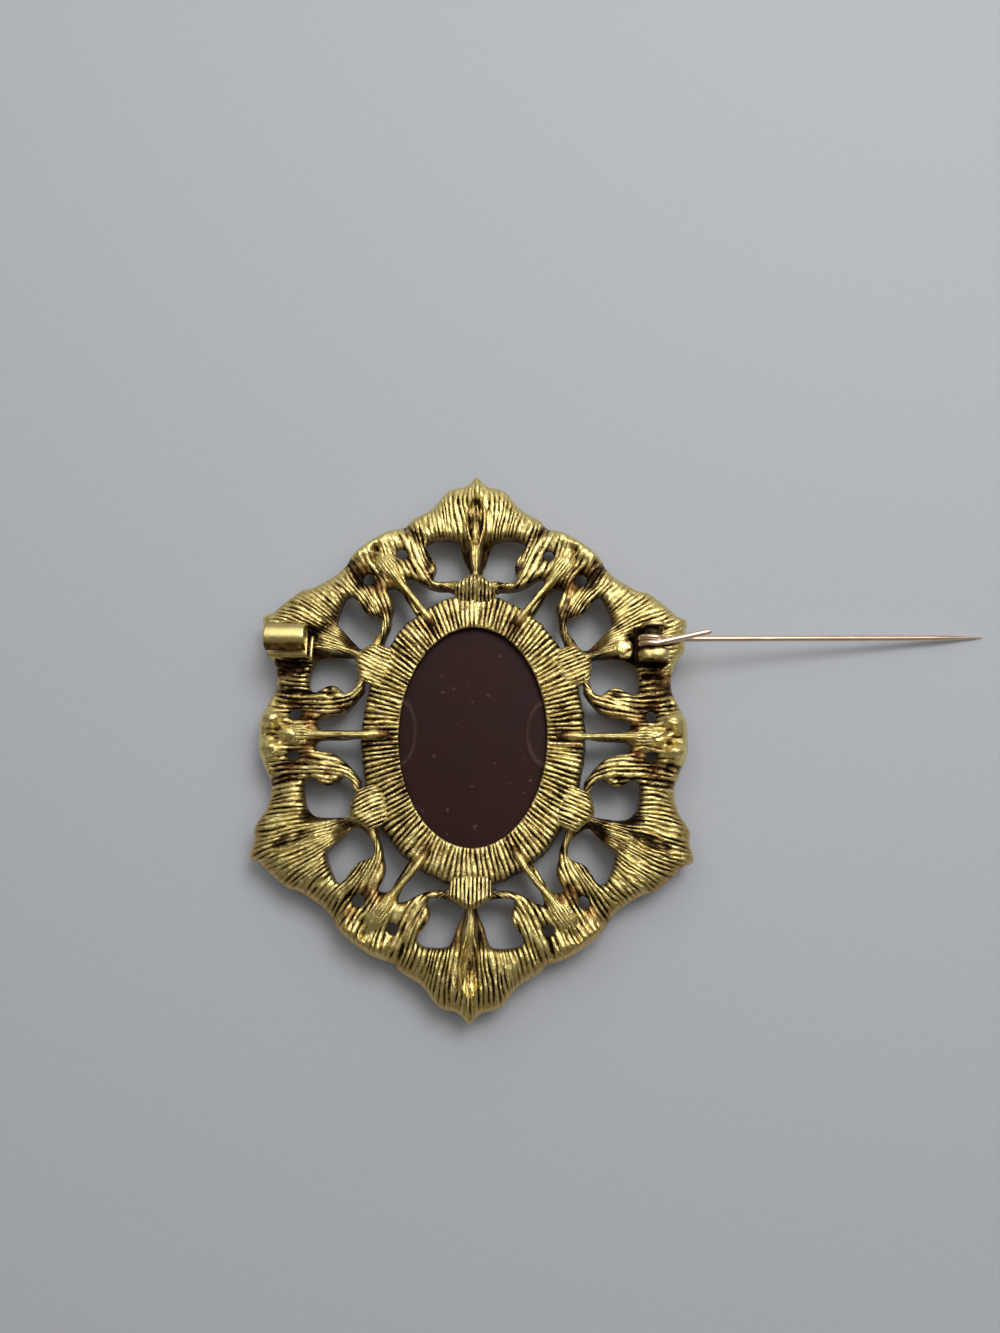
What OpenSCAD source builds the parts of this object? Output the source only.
// Oval cameo brooch in a pierced, ribbed gold-tone casting, lying on its face with the pin swung open.
// X runs across the brooch, Y up it and Z away from the surface that the face lies on.
// The origin is on that surface, under the middle of the oval. One quarter of the casting is
// charted below, and the other three are its mirror images. The stem's hinge stands upper right
// and the catch upper left, as seen from the back.

/* [Cameo] */
// Width of the oval cameo
cameo_w = 30; // [28:0.1:31]
// Height of the oval cameo
cameo_h = 40; // [38:0.1:41]
// Thickness of the cameo's ground
ground_t = 2.5; // [2:0.1:2.7]
// Width of the sloping shoulder round the ground's front
shoulder = 0.8; // [0.5:0.1:1.2]
// How far the figure stands out of the ground
relief_h = 2.2; // [1.6:0.1:2.3]

/* [Setting] */
// Width of the oval hole in the setting's back
hole_w = 21.4; // [19:0.1:23]
// Height of the oval hole in the setting's back
hole_h = 32.0; // [29:0.1:33]
// Thickness of the cup's wall round the cameo
cup_wall = 1.1; // [0.8:0.1:1.5]
// How far the cup's wall flares outwards at its front edge
cup_flare = 0.5; // [0.2:0.1:0.8]
// Thickness of the setting's back plate
plate_t = 1.1; // [0.8:0.1:1.4]
// Height of the setting's back above the surface
ring_z = 6.3; // [6.1:0.1:6.6]
// Width of the front lip that holds the cameo
lip_w = 0.5; // [0.3:0.1:0.8]
// Height of the ribs on the setting's back
ring_rib = 0.18; // [0.05:0.01:0.3]

/* [Casting] */
// Half width, from the middle to a side corner's tip
half_w = 31.8; // [31:0.1:34]
// Half height, from the middle to an end's tip
half_h = 40.2; // [39:0.1:43]
// Height of the back's crest above the surface
crest_z = 6.35; // [6.2:0.01:6.6]
// Height of the ribs on the casting's back
casting_rib = 0.3; // [0.05:0.01:0.4]
// Diameter of the small round holes beside each boss
vent_d = 1.8; // [1.4:0.1:2.2]
// Half length of a boss, along the rim
boss_len = 5.0; // [4:0.1:6]
// Half width of a boss, across the rim
boss_wid = 3.4; // [2.8:0.1:3.8]
// Half width of a spoke where it leaves its boss
spoke_root = 0.9; // [0.7:0.05:1.2]
// Half width of a spoke where it ends on the setting
spoke_tip = 0.55; // [0.4:0.05:0.7]
// Length of a spoke's end that lies on the setting
spoke_seat = 3.2; // [2:0.1:4]
// Width of a tab where it meets its stem
tab_w = 5.8; // [5:0.1:6.5]
// Height of a tab's outer end above the surface
tab_z = 7.1; // [6.8:0.1:7.4]
// Reach of a tab outwards from the setting's edge
tab_out = 3.0; // [2.4:0.1:3.4]
// Reach of a tab inwards over the setting
tab_in = 1.6; // [1:0.1:2.2]
// Place of the side tabs round the setting, in degrees of the oval
side_tab_at = 29; // [27:0.5:31]

/* [Hinge] */
// Distance of the rivet from the middle, across the brooch
hinge_x = 25.9; // [25.4:0.1:26.4]
// Distance of the coil from the middle, up the brooch
hinge_y = 13.6; // [13.2:0.1:14]
// Height of the rivet's axis above the surface
rivet_z = 8.9; // [8.8:0.1:9.4]
// Radius of the rivet
rivet_r = 1.1; // [0.9:0.05:1.15]
// Turn of the whole hinge on the casting, in degrees
hinge_yaw = 1.2; // [0:0.1:2]
// Radius of the two ears round the rivet
ear_r = 2.0; // [1.8:0.1:2.2]
// Thickness of each ear
ear_t = 1.2; // [0.9:0.1:1.5]
// Clear width between the ears
ear_gap = 2.9; // [2.7:0.1:3.2]
// Thickness of the hinge's and the catch's base plates
base_t = 0.6; // [0.4:0.05:0.7]
// Clearance of the rivet in the ears
rivet_fit = 0.03; // [0.01:0.01:0.06]

/* [Pin] */
// Diameter of the wire
wire_d = 0.86; // [0.7:0.02:0.9]
// Radius of the coil, at the middle of its wire
coil_r = 1.65; // [1.6:0.01:1.75]
// Distance from one turn of the coil to the next
coil_pitch = 1.33; // [1.1:0.01:1.4]
// Length of the stem from the coil to its point
stem_len = 52.8; // [48:0.1:53]
// Length of the wire's bent part beyond the coil
lead_len = 8.6; // [6:0.1:12]
// Length of the sharpened point
point_len = 7.5; // [4:0.1:10]
// Radius of the stem's blunted end
point_r = 0.07; // [0.05:0.01:0.12]
// Drop of the open stem below the level, in degrees
stem_drop = 7.7; // [7:0.05:7.8]
// Angle that the stem is sprung sideways, in degrees
stem_splay = 1.2; // [0:0.1:2]
// Length of the spring tail
tail_len = 8.4; // [6:0.1:9]
// Angle that the tail crosses the stem at, in degrees
tail_cross = 13; // [10:0.5:15]

/* [Catch] */
// Distance of the catch's middle from the brooch's middle, across the brooch
catch_x = 27.4; // [27:0.1:28]
// Distance of the catch's roll from the middle, up the brooch
catch_y = 13.9; // [13.6:0.1:14.2]
// Length of the rolled hook
catch_len = 5.8; // [4.5:0.1:6]
// Outer radius of the roll
catch_r = 2.0; // [1.8:0.05:2.1]
// Thickness of the catch's metal
catch_t = 0.65; // [0.5:0.05:0.8]
// Reach of the base plate below the roll
catch_lip = 2.9; // [2.4:0.1:3.2]

/* [Hidden] */

gold = "#b8963f";
rose = "#c9a187";
maroon = "#3a211d";
ivory = "#e9dfc8";

piece_gap = 0.05;
seat_gap = 0.08;
cup_gap = 0.06;
deep = 20;

cup_a = cameo_w / 2 + cup_gap;
cup_b = cameo_h / 2 + cup_gap;
ring_a = cup_a + cup_wall;
ring_b = cup_b + cup_wall;
ground_back = ring_z - plate_t - seat_gap;
ground_front = ground_back - ground_t;
findings_z = 6.05;

// The casting's outline from the top tip round to the side, as shares of half_w and half_h
OUTLINE = [ // across, up
    [0, 1], [.032, .976], [.061, .961], [.105, .953], [.147, .936], [.214, .873], [.303, .830],
    [.341, .802], [.440, .772], [.536, .723], [.599, .672], [.653, .614], [.765, .559], [.829, .542],
    [.918, .486], [.953, .459], [1, .438], [.984, .375], [.985, .332], [.934, .261], [.923, .180],
    [.979, .069], [.987, 0]
];
// The openings of one quarter, as shares of half_w and half_h
END_OPENING = [ // across, up: beside the end's stem
    [.239, .714], [.220, .738], [.173, .749], [.098, .745], [.072, .714], [.055, .672], [.029, .615],
    [.069, .585], [.145, .573], [.190, .576], [.199, .597], [.187, .627], [.218, .684]
];
UPPER_SLOT = [ // between the end's leaf and the slanting spoke
    [.328, .590], [.294, .591], [.253, .572], [.211, .556], [.164, .549], [.112, .547], [.108, .512],
    [.164, .488], [.233, .448], [.281, .502], [.313, .547]
];
LOWER_SLOT = [ // between the slanting spoke and the corner's leaf
    [.419, .545], [.387, .556], [.353, .545], [.264, .430], [.314, .383], [.377, .323], [.406, .328],
    [.427, .342], [.419, .368], [.401, .406], [.384, .480], [.400, .520]
];
CORNER_UPPER = [ // above the side corner's stem
    [.607, .515], [.582, .524], [.557, .508], [.507, .460], [.472, .448], [.437, .435], [.433, .408],
    [.444, .378], [.472, .351], [.513, .330], [.538, .328], [.651, .413], [.648, .443], [.632, .478]
];
CORNER_LOWER = [ // below the side corner's stem
    [.724, .288], [.676, .297], [.554, .288], [.532, .256], [.532, .216], [.546, .176], [.567, .156],
    [.591, .149], [.639, .178], [.670, .179], [.736, .154], [.761, .169], [.768, .206], [.755, .256]
];
SIDE_SLOT = [ // beside the side's spoke
    [.720, .040], [.708, .060], [.657, .068], [.613, .078], [.572, .103], [.538, .134], [.498, .189],
    [.465, .192], [.460, .124], [.475, .014], [.686, .016], [.711, .024]
];
// The small round holes, and the middles of the leaves' lobes
VENTS = [[.346, .679], [.500, .585], [.816, .075]];
LOBES = [[.213, .635], [.508, .496], [.640, .160]];
// Bosses as shares across and up, with the turn of their length in degrees
BOSSES = [[.884, 0, 90], [.443, .674, -32]];
// The slanting spoke's root as shares across and up, and the oval angle where it reaches the setting
SPOKES = [[.770, 0, 0], [.384, .612, 61.5]];

// The arched border's section: share of the way from setting to rim, height as a share of crest_z
BACK = [[.5, .97], [.66, 1], [.82, .99], [.93, .86], [1, .66]]; // way, height
FRONT = [[.5, .45], [.85, .28], [1, .5]]; // way, height
// The flat web inside the border, as shares of the way and of crest_z
web_reach = .6;
web_front = .5;
web_back = .955;
rim_over = 1.003;
outline_steps = 2;
ring_steps = 80;

// A point on the smooth curve through b and c, at share t of the way
function curve_point(a, b, c, d, t) =
    0.5 * (2 * b + (c - a) * t + (2 * a - 5 * b + 4 * c - d) * t * t + (3 * b - a - 3 * c + d) * t * t * t);

// A closed smooth curve through the points p, with n steps from each to the next
function smooth_loop(p, n) = let (m = len(p)) [
    for (i = [0 : m - 1], k = [0 : n - 1])
        curve_point(p[(i + m - 1) % m], p[i], p[(i + 1) % m], p[(i + 2) % m], k / n)
];

function sized(p) = [for (q = p) [q[0] * half_w, q[1] * half_h]];
function oval(a, b, t) = [a * cos(t), b * sin(t)];

// The whole outline, clockwise from the top tip: the quarter and its three mirror images
last = len(OUTLINE) - 1;
outline = smooth_loop(sized(concat(
    OUTLINE,
    [for (i = [last - 1 : -1 : 0]) [OUTLINE[i][0], -OUTLINE[i][1]]],
    [for (i = [1 : last]) [-OUTLINE[i][0], -OUTLINE[i][1]]],
    [for (i = [last - 1 : -1 : 1]) [-OUTLINE[i][0], OUTLINE[i][1]]]
)), outline_steps);

// The point at share t of the way from the setting's wall to the outline's point i
function across(i, t) = let (
    o = outline[i],
    s = oval(ring_a - cup_wall / 2, ring_b - cup_wall / 2, atan2(o[1] / ring_b, o[0] / ring_a))
) s + (o - s) * t;

// A closed tube-like solid: rings of points, each ring closed, the last ring joined to the first
module ring_loft(rings) {
    m = len(rings);
    n = len(rings[0]);
    polyhedron(
        points = [for (r = rings) each r],
        faces = [
            for (j = [0 : m - 1], i = [0 : n - 1]) let (
                a = j * n + i, b = j * n + (i + 1) % n,
                c = ((j + 1) % m) * n + i, d = ((j + 1) % m) * n + (i + 1) % n
            ) each [[a, c, b], [b, c, d]]
        ]
    );
}

// Every quarter's copy of the children
module quarters() {
    for (sx = [0, 1], sy = [0, 1]) mirror([sx, 0, 0]) mirror([0, sy, 0]) children();
}

module left_and_right() {
    for (s = [0, 1]) mirror([s, 0, 0]) children();
}

// The flat web that joins the setting to the border
module web() translate([0, 0, web_front * crest_z])
    linear_extrude((web_back - web_front) * crest_z) difference() {
        polygon([for (i = [0 : 2 : len(outline) - 1]) across(i, web_reach)]);
        polygon([for (i = [0 : ring_steps - 1])
            oval(ring_a - cup_wall / 2, ring_b - cup_wall / 2, i * 360 / ring_steps)]);
    }

// The ribbed, arched border that carries the fans and the bosses
module border() {
    n = len(outline);
    back = [for (s = BACK) [for (i = [0 : n - 1])
        [each across(i, s[0]), s[1] * crest_z - (i % 2) * casting_rib * sin(180 * s[0])]]];
    front = [for (j = [len(FRONT) - 1 : -1 : 0]) [for (i = [0 : n - 1])
        [each across(i, FRONT[j][0]), FRONT[j][1] * crest_z]]];
    ring_loft(concat(back, front));
}

// The oval cup that holds the cameo from behind, with its ribbed back plate and its front lip
module setting() {
    lip_z = ground_front - 0.5;
    rows = [ // half width, half height, height, share of the ribs
        [hole_w / 2, hole_h / 2, ring_z - 0.25, 0],
        [hole_w / 2 + 0.4, hole_h / 2 + 0.4, ring_z, 0],
        [ring_a - 0.3, ring_b - 0.3, ring_z, 1],
        [ring_a, ring_b, ring_z - 0.4, 0],
        [ring_a + cup_flare, ring_b + cup_flare, lip_z + 0.5, 0],
        [ring_a + cup_flare / 2, ring_b + cup_flare / 2, lip_z, 0],
        [cup_a - lip_w, cup_b - lip_w, lip_z, 0],
        [cup_a, cup_b, ground_front + shoulder, 0],
        [cup_a, cup_b, ring_z - plate_t, 0],
        [hole_w / 2, hole_h / 2, ring_z - plate_t, 0]
    ];
    ring_loft([for (r = rows) [for (i = [0 : ring_steps - 1])
        [each oval(r[0], r[1], -i * 360 / ring_steps), r[2] - (i % 2) * ring_rib * r[3]]]]);
}

// A rounded boss on the rim, which reaches down to the surface
module boss(b) {
    translate([b[0] * half_w, b[1] * half_h, crest_z * 0.5])
        rotate([0, 0, b[2]])
            scale([boss_len, boss_wid, crest_z * 0.56]) sphere(1, $fn = 12);
}

// A smooth bar from a boss inwards, which ends on the setting's back
module spoke(s) {
    root = [s[0] * half_w, s[1] * half_h];
    edge = oval(ring_a, ring_b, s[2]);
    tip = edge + (edge - root) / norm(edge - root) * spoke_seat;
    hull() {
        translate([each root, crest_z - spoke_root]) sphere(spoke_root, $fn = 8);
        translate([each edge, ring_z + spoke_tip * 0.2]) sphere(spoke_tip, $fn = 8);
    }
    hull() {
        translate([each edge, ring_z + spoke_tip * 0.2]) sphere(spoke_tip, $fn = 8);
        translate([each tip, ring_z - spoke_tip * 0.2]) sphere(spoke_tip, $fn = 8);
    }
}

// A tab that slopes from its stem down onto the setting, with the stem that carries it
// edge is where the tab crosses the setting's edge, and tip is the corner that its stem runs to
module tab_and_stem(edge, tip) {
    run = tip - edge;
    far = norm(run) * 0.5;
    translate([each edge, 0]) rotate([0, 0, atan2(run[1], run[0])]) {
        hull() {
            translate([-tab_in, -tab_w * 0.47, ring_z - 0.5]) cube([0.3, tab_w * 0.94, 0.75]);
            translate([tab_out * 0.6, -tab_w / 2, crest_z * 0.56])
                cube([0.3, tab_w, tab_z - 0.25 - crest_z * 0.56]);
            translate([tab_out, -tab_w * 0.2, crest_z * 0.6]) cube([0.3, tab_w * 0.4, tab_z - crest_z * 0.6]);
        }
        hull() {
            translate([tab_out, 0, crest_z * 0.62])
                cylinder(r = 0.6, h = tab_z - 0.2 - crest_z * 0.62, $fn = 8);
            translate([far, 0, crest_z * 0.62]) cylinder(r = 0.9, h = crest_z * 0.4, $fn = 8);
        }
    }
}

// What is cut right through one quarter
module piercing() {
    for (o = [END_OPENING, UPPER_SLOT, LOWER_SLOT, CORNER_UPPER, CORNER_LOWER, SIDE_SLOT])
        linear_extrude(deep, center = true) polygon(sized(o));
    for (v = sized(VENTS)) translate(v) cylinder(d = vent_d, h = deep, center = true, $fn = 10);
}

// The whole casting: web, border, bosses, leaves, spokes, stems and tabs in one with the oval setting
module casting() color(gold) difference() {
    union() {
        difference() {
            union() {
                web();
                border();
                intersection() {
                    linear_extrude(deep) scale(rim_over) polygon(outline);
                    union() {
                        left_and_right() boss(BOSSES[0]);
                        quarters() boss(BOSSES[1]);
                    }
                }
                quarters() for (v = sized(LOBES)) translate([each v, crest_z - 1]) sphere(1.35, $fn = 8);
            }
            quarters() piercing();
        }
        setting();
        left_and_right() spoke(SPOKES[0]);
        quarters() spoke(SPOKES[1]);
        for (s = [0, 1]) mirror([0, s, 0]) tab_and_stem([0, ring_b], [0, half_h]);
        quarters() tab_and_stem(oval(ring_a, ring_b, side_tab_at), [half_w, OUTLINE[16][1] * half_h]);
    }
    // Flat seats for the hinge and the catch
    translate([hinge_x, hinge_y, findings_z]) rotate([0, 0, hinge_yaw])
        translate([-ear_r - 0.2, -ear_gap / 2 - ear_t - 0.2, 0])
            cube([2 * ear_r + 0.4, ear_gap + 2 * ear_t + 0.4, deep]);
    translate([-catch_x - catch_len / 2 - 0.2, catch_y - catch_lip - 0.2, findings_z])
        cube([catch_len + 1.2, catch_lip + catch_r + 0.4, deep]);
}

// The oval ground: flat front and back, with a sloping shoulder under the setting's lip
module cameo_ground() color(maroon) scale([1, cameo_h / cameo_w, 1]) {
    translate([0, 0, ground_front])
        cylinder(r1 = cameo_w / 2 - shoulder, r2 = cameo_w / 2, h = shoulder, $fn = 180);
    translate([0, 0, ground_front + shoulder])
        cylinder(r = cameo_w / 2, h = ground_t - shoulder, $fn = 180);
}

// The figure on the front: a plain bust in profile, built up in steps of relief
// Points as shares of cameo_w and cameo_h
BUST = [ // shoulders, neck and head, clockwise from the chest
    [-.235, -.36], [-.255, -.27], [-.215, -.185], [-.115, -.125], [-.075, -.065], [-.085, .0],
    [-.185, .012], [-.205, .035], [-.195, .06], [-.215, .075], [-.205, .1], [-.245, .125], [-.205, .185],
    [-.2, .25], [-.16, .32], [-.06, .37], [.075, .355], [.155, .285], [.185, .185], [.16, .075],
    [.105, -.005], [.10, -.085], [.155, -.14], [.245, -.185], [.285, -.27], [.255, -.345], [.10, -.40],
    [-.09, -.405]
];
HAIR = [ // from the brow over the head to the nape and back over the ear
    [-.195, .235], [-.155, .315], [-.06, .365], [.07, .35], [.15, .28], [.18, .185], [.155, .08],
    [.09, .01], [.045, .03], [.06, .10], [-.0, .155], [-.03, .215], [-.105, .225], [-.16, .2]
];
DRAPE = [ // the cloth over the shoulders
    [-.23, -.345], [-.245, -.27], [-.2, -.2], [-.11, -.225], [-.02, -.27], [.07, -.23], [.16, -.16],
    [.235, -.195], [.272, -.27], [.245, -.335], [.10, -.388], [-.09, -.392]
];
// One step of the relief, from share a to share b of its height
module step(p, a, b) translate([0, 0, a * relief_h]) linear_extrude((b - a) * relief_h)
    polygon([for (q = smooth_loop(p, 3)) [q[0] * cameo_w, q[1] * cameo_h]]);

module cameo_figure() color(ivory)
    translate([0, 0, ground_front - piece_gap]) mirror([0, 0, 1]) {
        step(BUST, 0, 0.5);
        step(HAIR, 0.4, 0.8);
        step(DRAPE, 0.4, 0.7);
        translate([.115 * cameo_w, .2 * cameo_h, .7 * relief_h])
            cylinder(r = .075 * cameo_w, h = .3 * relief_h, $fn = 48);
    }

// The rolled hook that holds the stem's point, open towards the brooch's foot, on its base plate
module catch() color(gold) {
    roll_z = findings_z + piece_gap + catch_r;
    translate([-catch_x - catch_len / 2, catch_y, roll_z]) rotate([90, 0, 90]) linear_extrude(catch_len) {
        difference() {
            circle(catch_r, $fn = 48);
            circle(catch_r - catch_t, $fn = 48);
            polygon([[0, 0], [-3, 1.6], [-3, -3], [0, -3]]);
        }
        translate([-catch_lip, -catch_r]) square([catch_lip + catch_r * 0.7, base_t]);
    }
    translate([-catch_x, catch_y - catch_lip, findings_z + piece_gap])
        cube([catch_len / 2 + 0.8, catch_lip + catch_r * 0.7, base_t]);
}

// Places its children at the rivet, with the rivet along Y
module at_rivet() translate([hinge_x, hinge_y, rivet_z]) rotate([0, 0, hinge_yaw]) children();

// The base plate and its two ears, bored for the rivet
module hinge_block() color(gold) at_rivet() difference() {
    foot = findings_z + piece_gap - rivet_z;
    union() {
        for (y = [-ear_gap / 2 - ear_t, ear_gap / 2])
            translate([0, y + ear_t, 0]) rotate([90, 0, 0]) linear_extrude(ear_t) {
                circle(ear_r, $fn = 48);
                translate([-ear_r, foot]) square([2 * ear_r, -foot]);
            }
        // The plate stops short of the side where the open stem dips
        translate([-ear_r, -ear_gap / 2 - ear_t, foot]) cube([ear_r + 0.2, ear_gap + 2 * ear_t, base_t]);
    }
    rotate([90, 0, 0]) cylinder(r = rivet_r + rivet_fit, h = ear_gap + 2 * ear_t + 1, center = true, $fn = 48);
}

module hinge_rivet() color(gold) at_rivet()
    rotate([90, 0, 0]) cylinder(r = rivet_r, h = ear_gap + 2 * ear_t, center = true, $fn = 48);

// The coil's middle line: one and a half turns from the tail's leaving on top to the stem's underneath
// q is the share of the way; the stem leaves at stem_drop below the level, and the tail beside it
coil_turns = 1.5;
wire_r = wire_d / 2;
function coil_point(q) = let (t = 90 - stem_drop + q * coil_turns * 360)
    [coil_r * cos(t), (q - 0.5) * coil_pitch * coil_turns * 0.67, coil_r * sin(t)];
function unit(v) = v / norm(v);
function crossing(a, b) = [a[1] * b[2] - a[2] * b[1], a[2] * b[0] - a[0] * b[2], a[0] * b[1] - a[1] * b[0]];

stem_dir = [cos(stem_drop) * cos(stem_splay), sin(stem_splay), -sin(stem_drop) * cos(stem_splay)];
tail_dir = [cos(stem_drop) * cos(tail_cross), sin(tail_cross), -sin(stem_drop) * cos(tail_cross)];
coil_steps = 36;

// The wire's bent part as one swept tube: the tail, the coil and the first of the stem.
// It narrows a little inside the straight stem, which takes over from it.
module bent_wire() {
    sides = 10;
    path = concat(
        [coil_point(0) + tail_dir * tail_len, coil_point(0) + tail_dir * 0.6],
        [for (k = [0 : coil_steps]) coil_point(k / coil_steps)],
        [for (s = [0.8, lead_len * 0.5, lead_len, lead_len + 0.8]) coil_point(1) + stem_dir * s]
    );
    thick = concat([for (k = [-2 : coil_steps + 2]) wire_r], [wire_r * 0.97, wire_r * 0.7]);
    m = len(path);
    rings = [for (k = [0 : m - 1]) let (
        t = unit(path[min(k + 1, m - 1)] - path[max(k - 1, 0)]),
        u = unit(crossing(t, [0, 1, 0])),
        v = crossing(t, u)
    ) [for (s = [0 : sides - 1])
        path[k] + thick[k] * (u * cos(s * 360 / sides) + v * sin(s * 360 / sides))]];
    polyhedron(
        points = [for (r = rings) each r],
        faces = concat(
            [for (k = [0 : m - 2], s = [0 : sides - 1]) let (
                a = k * sides + s, b = k * sides + (s + 1) % sides,
                c = a + sides, d = b + sides
            ) each [[a, c, b], [b, c, d]]],
            [[for (s = [0 : sides - 1]) s], [for (s = [sides - 1 : -1 : 0]) (m - 1) * sides + s]]
        )
    );
}

// The pin: coil and tail in one with the straight stem and its sharpened point
module pin_stem() color(rose) at_rivet() {
    bent_wire();
    straight = stem_len - point_len - lead_len;
    translate(coil_point(1)) rotate([0, 90 + stem_drop, 0]) rotate([-stem_splay, 0, 0])
        translate([0, 0, lead_len]) {
            cylinder(r = wire_r, h = straight, $fn = 32);
            translate([0, 0, straight]) cylinder(r1 = wire_r, r2 = point_r, h = point_len, $fn = 32);
        }
}

casting();
cameo_ground();
cameo_figure();
catch();
hinge_block();
hinge_rivet();
pin_stem();
